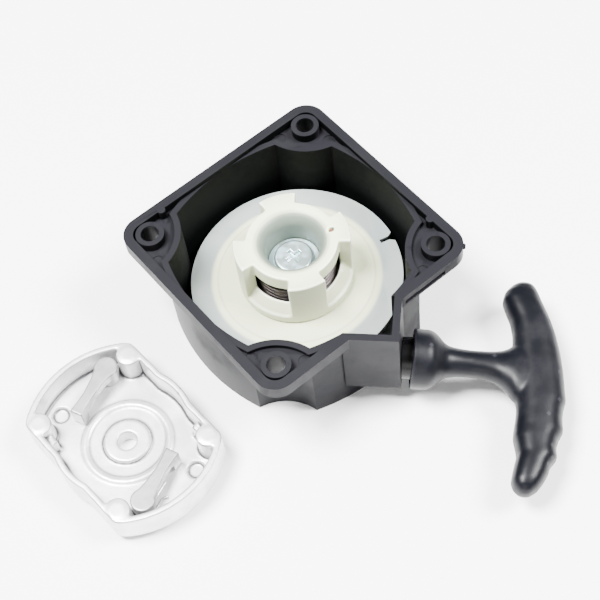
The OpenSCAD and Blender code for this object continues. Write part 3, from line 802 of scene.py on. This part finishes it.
# ---------------------------------------------------------------- pieces


class STARTER_OT_housing(bpy.types.Operator):
    """Moulded housing, with its rope guide bush"""

    bl_idname = "starter.housing"
    bl_label = "Housing"

    def execute(self, context):
        edge = context.scene.starter_finish.edge
        shell = frame_copy("housing", "moulded_housing", "shell", edge)
        settle(shell, "starter_housing", "housing")
        bush = frame_copy("rope_guide_bush", "guide_bush", "bush", 0.3 * MM)
        settle(bush, "starter_housing", "rope_guide_bush")
        return {"FINISHED"}


class STARTER_OT_reel(bpy.types.Operator):
    """Rope reel and the drive cam on it"""

    bl_idname = "starter.reel"
    bl_label = "Reel and cam"

    def execute(self, context):
        reel = frame_copy("reel", "rope_reel", "reel nylon", 0.22 * MM)
        settle(reel, "reel", "reel")
        cam = cast_copy("drive_cam", "lugged_cam", "cam nylon", 0.38 * MM, 5)
        settle(cam, "drive_cam", "drive_cam")
        return {"FINISHED"}


ASSIST_WIRE_R = 0.6 * MM
PAWL_WIRE_R = 0.4 * MM


def assist_spring_path():
    """Torsion coil round the post, with a leg down into the reel and one up into the cam."""
    low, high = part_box("assist_spring")
    coil_r = (high.x - low.x) / 2 - ASSIST_WIRE_R
    leg_at, first_step = math.radians(22), 0.1
    bottom, top = low.z + 4.1 * MM, high.z - 5.7 * MM
    leg = (coil_r * math.cos(leg_at), coil_r * math.sin(leg_at))
    coil = helix(coil_r, bottom, top, 6, leg_at + first_step)
    return [(*leg, low.z), (*leg, bottom - 0.8 * MM), *coil, (*leg, top + 1.4 * MM), (*leg, high.z)]


def pawl_spring_path(side):
    """Torsion coil on a pawl's stud, one leg towards the rim and one along the pawl's arm."""
    clip_lo, clip_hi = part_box(f"pawl_clip_{side}")
    low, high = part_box(f"pawl_spring_{side}")
    plate_lo, plate_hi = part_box("pawl_plate")
    pivot = (clip_lo + clip_hi) / 2
    out = pivot - (plate_lo + plate_hi) / 2
    arm = math.atan2(out.y, out.x) + math.radians(135.4)
    bottom, top = low.z + PAWL_WIRE_R, high.z - PAWL_WIRE_R
    coil_r, turns, steps = 2.9, 4, 24
    # In millimetres from the stud, X along the pawl's arm: the rim's leg, the coil and the arm's leg
    local = [(6.3, -4.15, bottom), (5.05, -coil_r, bottom), (1.74, -coil_r, bottom)]
    for i in range(turns * steps + 1):
        angle = 2 * math.pi * (i + 1) / steps - QUARTER
        rise = (top - bottom) * i / (turns * steps)
        local.append((coil_r * math.cos(angle), coil_r * math.sin(angle), bottom + rise))
    local += [(3.9, -2.1, top), (9.05, -2.1, top)]
    c, s = math.cos(arm), math.sin(arm)
    return [(pivot.x + (x * c - y * s) * MM, pivot.y + (x * s + y * c) * MM, z) for x, y, z in local]


class STARTER_OT_springs(bpy.types.Operator):
    """Assist spring, recoil spring and the pawls' springs"""

    bl_idname = "starter.springs"
    bl_label = "Springs"

    def execute(self, context):
        assist = wire("assist_coil", [assist_spring_path()], ASSIST_WIRE_R, 12, "spring wire")
        settle(assist, "reel", "assist_spring")
        strip = frame_copy("recoil_spring", "recoil_strip", "blued strip", 0.05 * MM, 60, 1)
        settle(strip, "starter_housing", "recoil_spring")
        for side in (1, 2):
            coil = wire(f"pawl_torsion_{side}", [pawl_spring_path(side)], PAWL_WIRE_R, 10, "bright wire")
            settle(coil, f"pawl_{side}", f"pawl_spring_{side}")
        return {"FINISHED"}


class STARTER_OT_screw(bpy.types.Operator):
    """Centre screw, its washers, the post's insert and the spring's pin"""

    bl_idname = "starter.screw"
    bl_label = "Screw and washers"

    def execute(self, context):
        for node, name, finish, slot_name, edge in (
            ("centre_screw", "pan_screw", "zinc", "zinc_steel", 0.3 * MM),
            ("centre_washer", "screw_washer", "zinc", "zinc_steel", 0.12 * MM),
            ("thrust_washer", "hub_washer", "reel nylon", "reel_plastic", 0.12 * MM),
            ("post_insert", "threaded_insert", "brass", "brass", 0.12 * MM),
            ("spring_anchor_pin", "anchor_pin", "zinc", "zinc_steel", 0.12 * MM),
        ):
            piece = frame_copy(node, name, finish, edge)
            settle(piece, "starter_housing", node)
        return {"FINISHED"}


# The lead's middle line in millimetres, from the reel through the bush into the handle
LEAD = (
    (2.8, -31.5, 12.9), (7.8, -31.2, 12.9), (14.2, -30.5, 12.9), (17.7, -29.9, 12.9), (21.3, -29.5, 13.1),
    (24.1, -29, 13.6), (26.9, -28.7, 14.3), (29.8, -28.4, 15), (31.9, -28.3, 15.2), (35.5, -28.3, 15.3),
    (40, -28.3, 15.3), (42.5, -28.3, 15), (46.5, -28.3, 14.5), (51.5, -28.3, 14), (56.5, -28.3, 13.5),
    (63.5, -28.3, 12.7), (69.5, -28.3, 12.1),
)  # fmt: skip


def trefoil(centre, size, steps=60):
    """A closed overhand knot about centre, size from its middle to the rope's own middle."""
    path = []
    for i in range(steps):
        t = 2 * math.pi * i / steps
        x, y = math.sin(t) + 2 * math.sin(2 * t), math.cos(t) - 2 * math.cos(2 * t)
        path.append(tuple(centre + Vector((x, y, -math.sin(3 * t) * 1.6)) * size / 3.0))
    return path


class STARTER_OT_rope(bpy.types.Operator):
    """Rope on the reel, its lead to the handle and both knots"""

    bl_idname = "starter.rope"
    bl_label = "Rope"

    def execute(self, context):
        columns = context.scene.starter_rope.columns
        low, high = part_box("rope_winding")
        both_layers, layer_step = 5.7 * MM, 2.6 * MM
        inner_r = high.x - both_layers + ROPE_R
        foot = low.z + ROPE_R
        first = helix(inner_r, foot, foot + (columns - 1) * 2 * ROPE_R, columns, 0.4, 72)
        outer_top = foot + 2 * ROPE_R - 0.4 * MM
        outer = helix(inner_r + layer_step, foot, outer_top, columns - 1, 0.9, 72)
        winding = wire("wound_rope", [first, outer], ROPE_R, 12, "rope on reel")
        settle(winding, "reel", "rope_winding")
        lead = wire("rope_run", [smooth_path([Vector(p) * MM for p in LEAD], 5)], ROPE_R, 16, "rope lead")
        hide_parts("rope_lead")
        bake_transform(lead)
        for node, body in (("reel_knot", "reel"), ("handle_knot", "handle")):
            low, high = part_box(node)
            centre = (low + high) / 2
            size = (high.x - low.x) / 2 - ROPE_R * 0.95
            name = node.replace("_", "_tied_")
            knot = wire(name, [trefoil(centre, size)], ROPE_R * 0.9, 10, "rope on reel")
            settle(knot, body, node)
        return {"FINISHED"}


# T bar in millimetres from the bell's mouth: across the rope, inner edge, outer edge, half thickness
GRIP_BAR = (
    (30.3, 33.0, 36.0, 2.0), (29.6, 31.0, 37.0, 3.6), (28.4, 29.6, 37.9, 4.6), (26.2, 27.9, 38.9, 5.4),
    (23.5, 27.4, 39.9, 5.8), (20.5, 28.4, 41.2, 6.0), (16.7, 29.9, 42.7, 6.1), (12.0, 30.8, 44.2, 6.2),
    (6.0, 31.0, 45.6, 6.2), (0.0, 31.4, 46.5, 6.2), (-6.0, 31.8, 47.0, 6.2), (-10.8, 32.2, 47.4, 6.2),
    (-13.6, 32.4, 46.6, 6.2), (-17.0, 32.3, 46.3, 6.1), (-20.9, 31.8, 46.6, 6.0), (-24.0, 31.6, 45.1, 6.0),
    (-27.0, 32.3, 44.5, 5.9), (-29.8, 32.8, 44.8, 5.8), (-32.6, 32.2, 42.9, 5.6), (-35.4, 31.7, 42.1, 5.4),
    (-38.2, 31.3, 40.7, 5.0), (-40.2, 31.9, 39.3, 4.3), (-41.6, 33.3, 37.6, 3.0), (-42.3, 34.6, 36.4, 1.4),
)  # fmt: skip

# Root where the neck spreads into the bar: along the rope, lower edge, upper edge, half thickness
GRIP_ROOT = (
    (14, -4.3, 4.3, 4.3), (18.6, -4.2, 4.2, 4.2), (22.5, -4.5, 4.3, 4.4), (25.5, -5.3, 4.6, 4.6),
    (27.8, -6.7, 5.2, 4.9), (29.6, -8.6, 6.2, 5.2), (31.2, -11.0, 7.6, 5.5), (33.5, -12.5, 9.0, 5.7),
    (38.0, -12.5, 9.0, 5.4), (41.0, -9.0, 7.0, 4.6),
)  # fmt: skip

# Bell and neck: along the rope, radius
GRIP_BELL = (
    (0.0, 9.2), (0.35, 9.4), (4.6, 9.35), (5.8, 9.05), (7.0, 8.3), (8.2, 7.1), (9.4, 5.9), (10.8, 5.05),
    (12.4, 4.65), (15.0, 4.4), (19.0, 4.2),
)  # fmt: skip


def handle_skin():
    """Bar, root and bell grown into one skin, along +X from the middle of the bell's mouth."""
    bar = [(((lo + hi) / 2 * MM, y * MM, 0), (hi - lo) / 2 * MM, h * MM) for y, lo, hi, h in GRIP_BAR]
    root = [(((lo + hi) / 2 * MM, -x * MM, 0), (hi - lo) / 2 * MM, h * MM) for x, lo, hi, h in GRIP_ROOT]
    bell = [(r * MM, x * MM) for x, r in GRIP_BELL]
    bell = [(0.0, bell[0][1]), *bell, (0.0, bell[-1][1])]
    joined = bmesh.new()
    for part, turn in (
        (loft(bar, 2.35), Matrix.Identity(4)),
        (loft(root, 2.1), Matrix.Rotation(QUARTER, 4, "Z")),
        (turned(bell), Matrix.Rotation(QUARTER, 4, "Y")),
    ):
        part.transform(turn)
        mesh = mesh_from(part, "part")
        joined.from_mesh(mesh)
        bpy.data.meshes.remove(mesh)
    body = add_piece("handle_body", mesh_from(joined, "handle_body"), "grip")
    even_skin(body, 0.42 * MM)
    return applied(body)


def soften_root(mesh, rounds=24):
    """Relaxes the skin, most of all where the neck meets the bar, and least at the bell's mouth."""
    root_at, root_reach, root_half, root_pull = 29.0, 7.0, 17 * MM, 0.55
    all_over_rounds, all_over_pull, mouth_depth = 6, 0.5, 2
    bm = bmesh.new()
    bm.from_mesh(mesh)
    for step in range(rounds):
        moved = []
        for vert in bm.verts:
            x = vert.co.x / MM
            near_root = max(0.0, 1.0 - abs(x - root_at) / root_reach)
            base = all_over_pull if step < all_over_rounds and x > mouth_depth else 0.0
            weight = max(base, root_pull * near_root if abs(vert.co.y) < root_half else 0.0)
            if weight and vert.link_edges:
                mean = sum((e.other_vert(vert).co for e in vert.link_edges), Vector()) / len(vert.link_edges)
                moved.append((vert, vert.co.lerp(mean, weight)))
        for vert, place in moved:
            vert.co = place
    bm.to_mesh(mesh)
    bm.free()


def hollowed(mesh):
    """The handle's skin with the bell's bowl and the rope's hole cut from it."""
    past, bowl_r, bowl_end, hole_r, hole_end = -1 * MM, 8 * MM, 3 * MM, 2 * MM, 40 * MM
    profile = [(0.0, past), (bowl_r, past), (bowl_r, bowl_end), (hole_r, bowl_end), (hole_r, hole_end)]
    hollow = turned([*profile, (0.0, hole_end)])
    hollow.transform(Matrix.Rotation(QUARTER, 4, "Y"))
    cutter = add_piece("hollow", mesh_from(hollow, "hollow"), "grip")
    piece = add_piece("pull_handle", mesh, "grip")
    cut = piece.modifiers.new("hollow", "BOOLEAN")
    cut.operation = "DIFFERENCE"
    cut.solver = "EXACT"
    cut.object = cutter
    mesh = applied(piece)
    bpy.data.objects.remove(cutter)
    return mesh


class STARTER_OT_handle(bpy.types.Operator):
    """T handle with its bell, and the washer inside it"""

    bl_idname = "starter.handle"
    bl_label = "Handle"

    def execute(self, context):
        skin = handle_skin()
        soften_root(skin)
        mesh = hollowed(skin)
        mesh.transform(Matrix.Translation(MOUTH) @ Matrix.Rotation(DROOP, 4, "Y"))
        handle = add_piece("pull_handle", mesh, "grip")
        for face in mesh.polygons:
            face.use_smooth = True
        mesh.set_sharp_from_angle(angle=math.radians(50))
        settle(handle, "handle", "handle_grip")
        washer = frame_copy("handle_washer", "knot_washer", "zinc", 0.12 * MM)
        settle(washer, "handle", "handle_washer")
        return {"FINISHED"}


class STARTER_OT_plate(bpy.types.Operator):
    """Cast pawl plate with its pawls and their clips"""

    bl_idname = "starter.plate"
    bl_label = "Pawl plate"

    def execute(self, context):
        plate = cast_copy("pawl_plate", "cast_pawl_plate", "cast plate")
        settle(plate, "pawl_plate", "pawl_plate")
        for side in (1, 2):
            pawl = cast_copy(f"pawl_{side}", f"swing_pawl_{side}", "pawl steel", 0.26 * MM)
            settle(pawl, f"pawl_{side}", f"pawl_{side}")
            clip = frame_copy(f"pawl_clip_{side}", f"stud_clip_{side}", "spring wire", 0.1 * MM)
            settle(clip, f"pawl_{side}", f"pawl_clip_{side}")
        return {"FINISHED"}


# ---------------------------------------------------------------- stage


def add_light(name, place, size, power):
    """A round soft light that faces the frame's origin."""
    light = bpy.data.lights.new(name, "AREA")
    light.shape = "DISK"
    light.size = size
    light.energy = power
    lamp = bpy.data.objects.new(name, light)
    lamp.location = place
    lamp.rotation_euler = (-Vector(place)).to_track_quat("-Z", "Y").to_euler()
    bpy.context.scene.collection.objects.link(lamp)


CAMERA_AIM = Vector((1.81, -8.59, 15.0)) * MM


def add_camera(scene, stage):
    """The camera, turned and rolled as the stage says, looking at CAMERA_AIM."""
    azimuth, elevation, roll = stage.azimuth, stage.elevation, stage.roll
    flat = math.cos(elevation)
    look = Vector((-math.sin(azimuth) * flat, math.cos(azimuth) * flat, -math.sin(elevation)))
    level = look.cross(Vector((0, 0, 1))).normalized()
    upright = level.cross(look)
    right = level * math.cos(roll) + upright * math.sin(roll)
    up = right.cross(look)
    camera = bpy.data.objects.new("camera", bpy.data.cameras.new("camera"))
    camera.data.lens = stage.lens
    camera.data.clip_start = 0.01
    turn = Matrix((right, up, -look)).transposed().to_4x4()
    camera.matrix_world = Matrix.Translation(CAMERA_AIM - look * stage.distance) @ turn
    scene.collection.objects.link(camera)
    scene.camera = camera


def add_floor(colour):
    """A wide pale floor with a faint cloudiness, just under the pieces."""
    bm = bmesh.new()
    bmesh.ops.create_grid(bm, x_segments=8, y_segments=8, size=3.0)
    tree, shader = start_finish("floor", 0.7)
    place = tree.nodes.new("ShaderNodeTexCoord").outputs["Object"]
    cloud = ramp(tree, noise(tree, place, 3.0, 2, 0.5), 0.3, 0.7)
    base = blend_colours(tree, cloud, times(colour, 0.995), tuple(colour))
    tree.links.new(base, shader.inputs["Base Color"])
    floor = add_piece("floor", mesh_from(bm, "floor"), "floor")
    floor.location.z = -0.05 * MM


class STARTER_OT_stage(bpy.types.Operator):
    """Floor, studio light and camera"""

    bl_idname = "starter.stage"
    bl_label = "Stage"

    def execute(self, context):
        scene = context.scene
        add_camera(scene, scene.starter_stage)
        add_floor(scene.starter_stage.floor)
        world = bpy.data.worlds.new("studio")
        world.use_nodes = True
        world.node_tree.nodes["Background"].inputs["Color"].default_value = (1, 1, 1, 1)
        world.node_tree.nodes["Background"].inputs["Strength"].default_value = 0.35
        scene.world = world
        add_light("key", (-0.38, -0.10, 1.10), 0.45, 80)
        add_light("side", (0.70, 0.05, 0.95), 0.45, 50)
        add_light("front", (0.0, -0.9, 0.35), 0.5, 4)
        return {"FINISHED"}


class STARTER_PT_panel(bpy.types.Panel):
    """Lists the starter's sizes, colours and pieces"""

    bl_idname = "STARTER_PT_panel"
    bl_label = "Recoil starter"
    bl_space_type = "VIEW_3D"
    bl_region_type = "UI"
    bl_category = "Starter"

    def draw(self, context):
        for group in (context.scene.starter_finish, context.scene.starter_rope, context.scene.starter_stage):
            box = self.layout.box()
            for field in group.__annotations__:
                box.prop(group, field)
        for operator in OPERATORS:
            self.layout.operator(operator.bl_idname)


OPERATORS = (
    STARTER_OT_stage,
    STARTER_OT_housing,
    STARTER_OT_reel,
    STARTER_OT_springs,
    STARTER_OT_screw,
    STARTER_OT_rope,
    STARTER_OT_handle,
    STARTER_OT_plate,
)
GROUPS = {"starter_finish": StarterFinish, "starter_rope": StarterRope, "starter_stage": StarterStage}


def register():
    for group in GROUPS.values():
        bpy.utils.register_class(group)
    for name, group in GROUPS.items():
        setattr(bpy.types.Scene, name, PointerProperty(type=group))
    for operator in OPERATORS:
        bpy.utils.register_class(operator)
    bpy.utils.register_class(STARTER_PT_panel)


def unregister():
    bpy.utils.unregister_class(STARTER_PT_panel)
    for operator in reversed(OPERATORS):
        bpy.utils.unregister_class(operator)
    for name in GROUPS:
        delattr(bpy.types.Scene, name)
    for group in GROUPS.values():
        bpy.utils.unregister_class(group)


def main():
    """Builds the whole starter."""
    register()
    make_finishes()
    for operator in OPERATORS:
        getattr(bpy.ops.starter, operator.bl_idname.split(".")[1])()


if __name__ == "__main__":
    main()
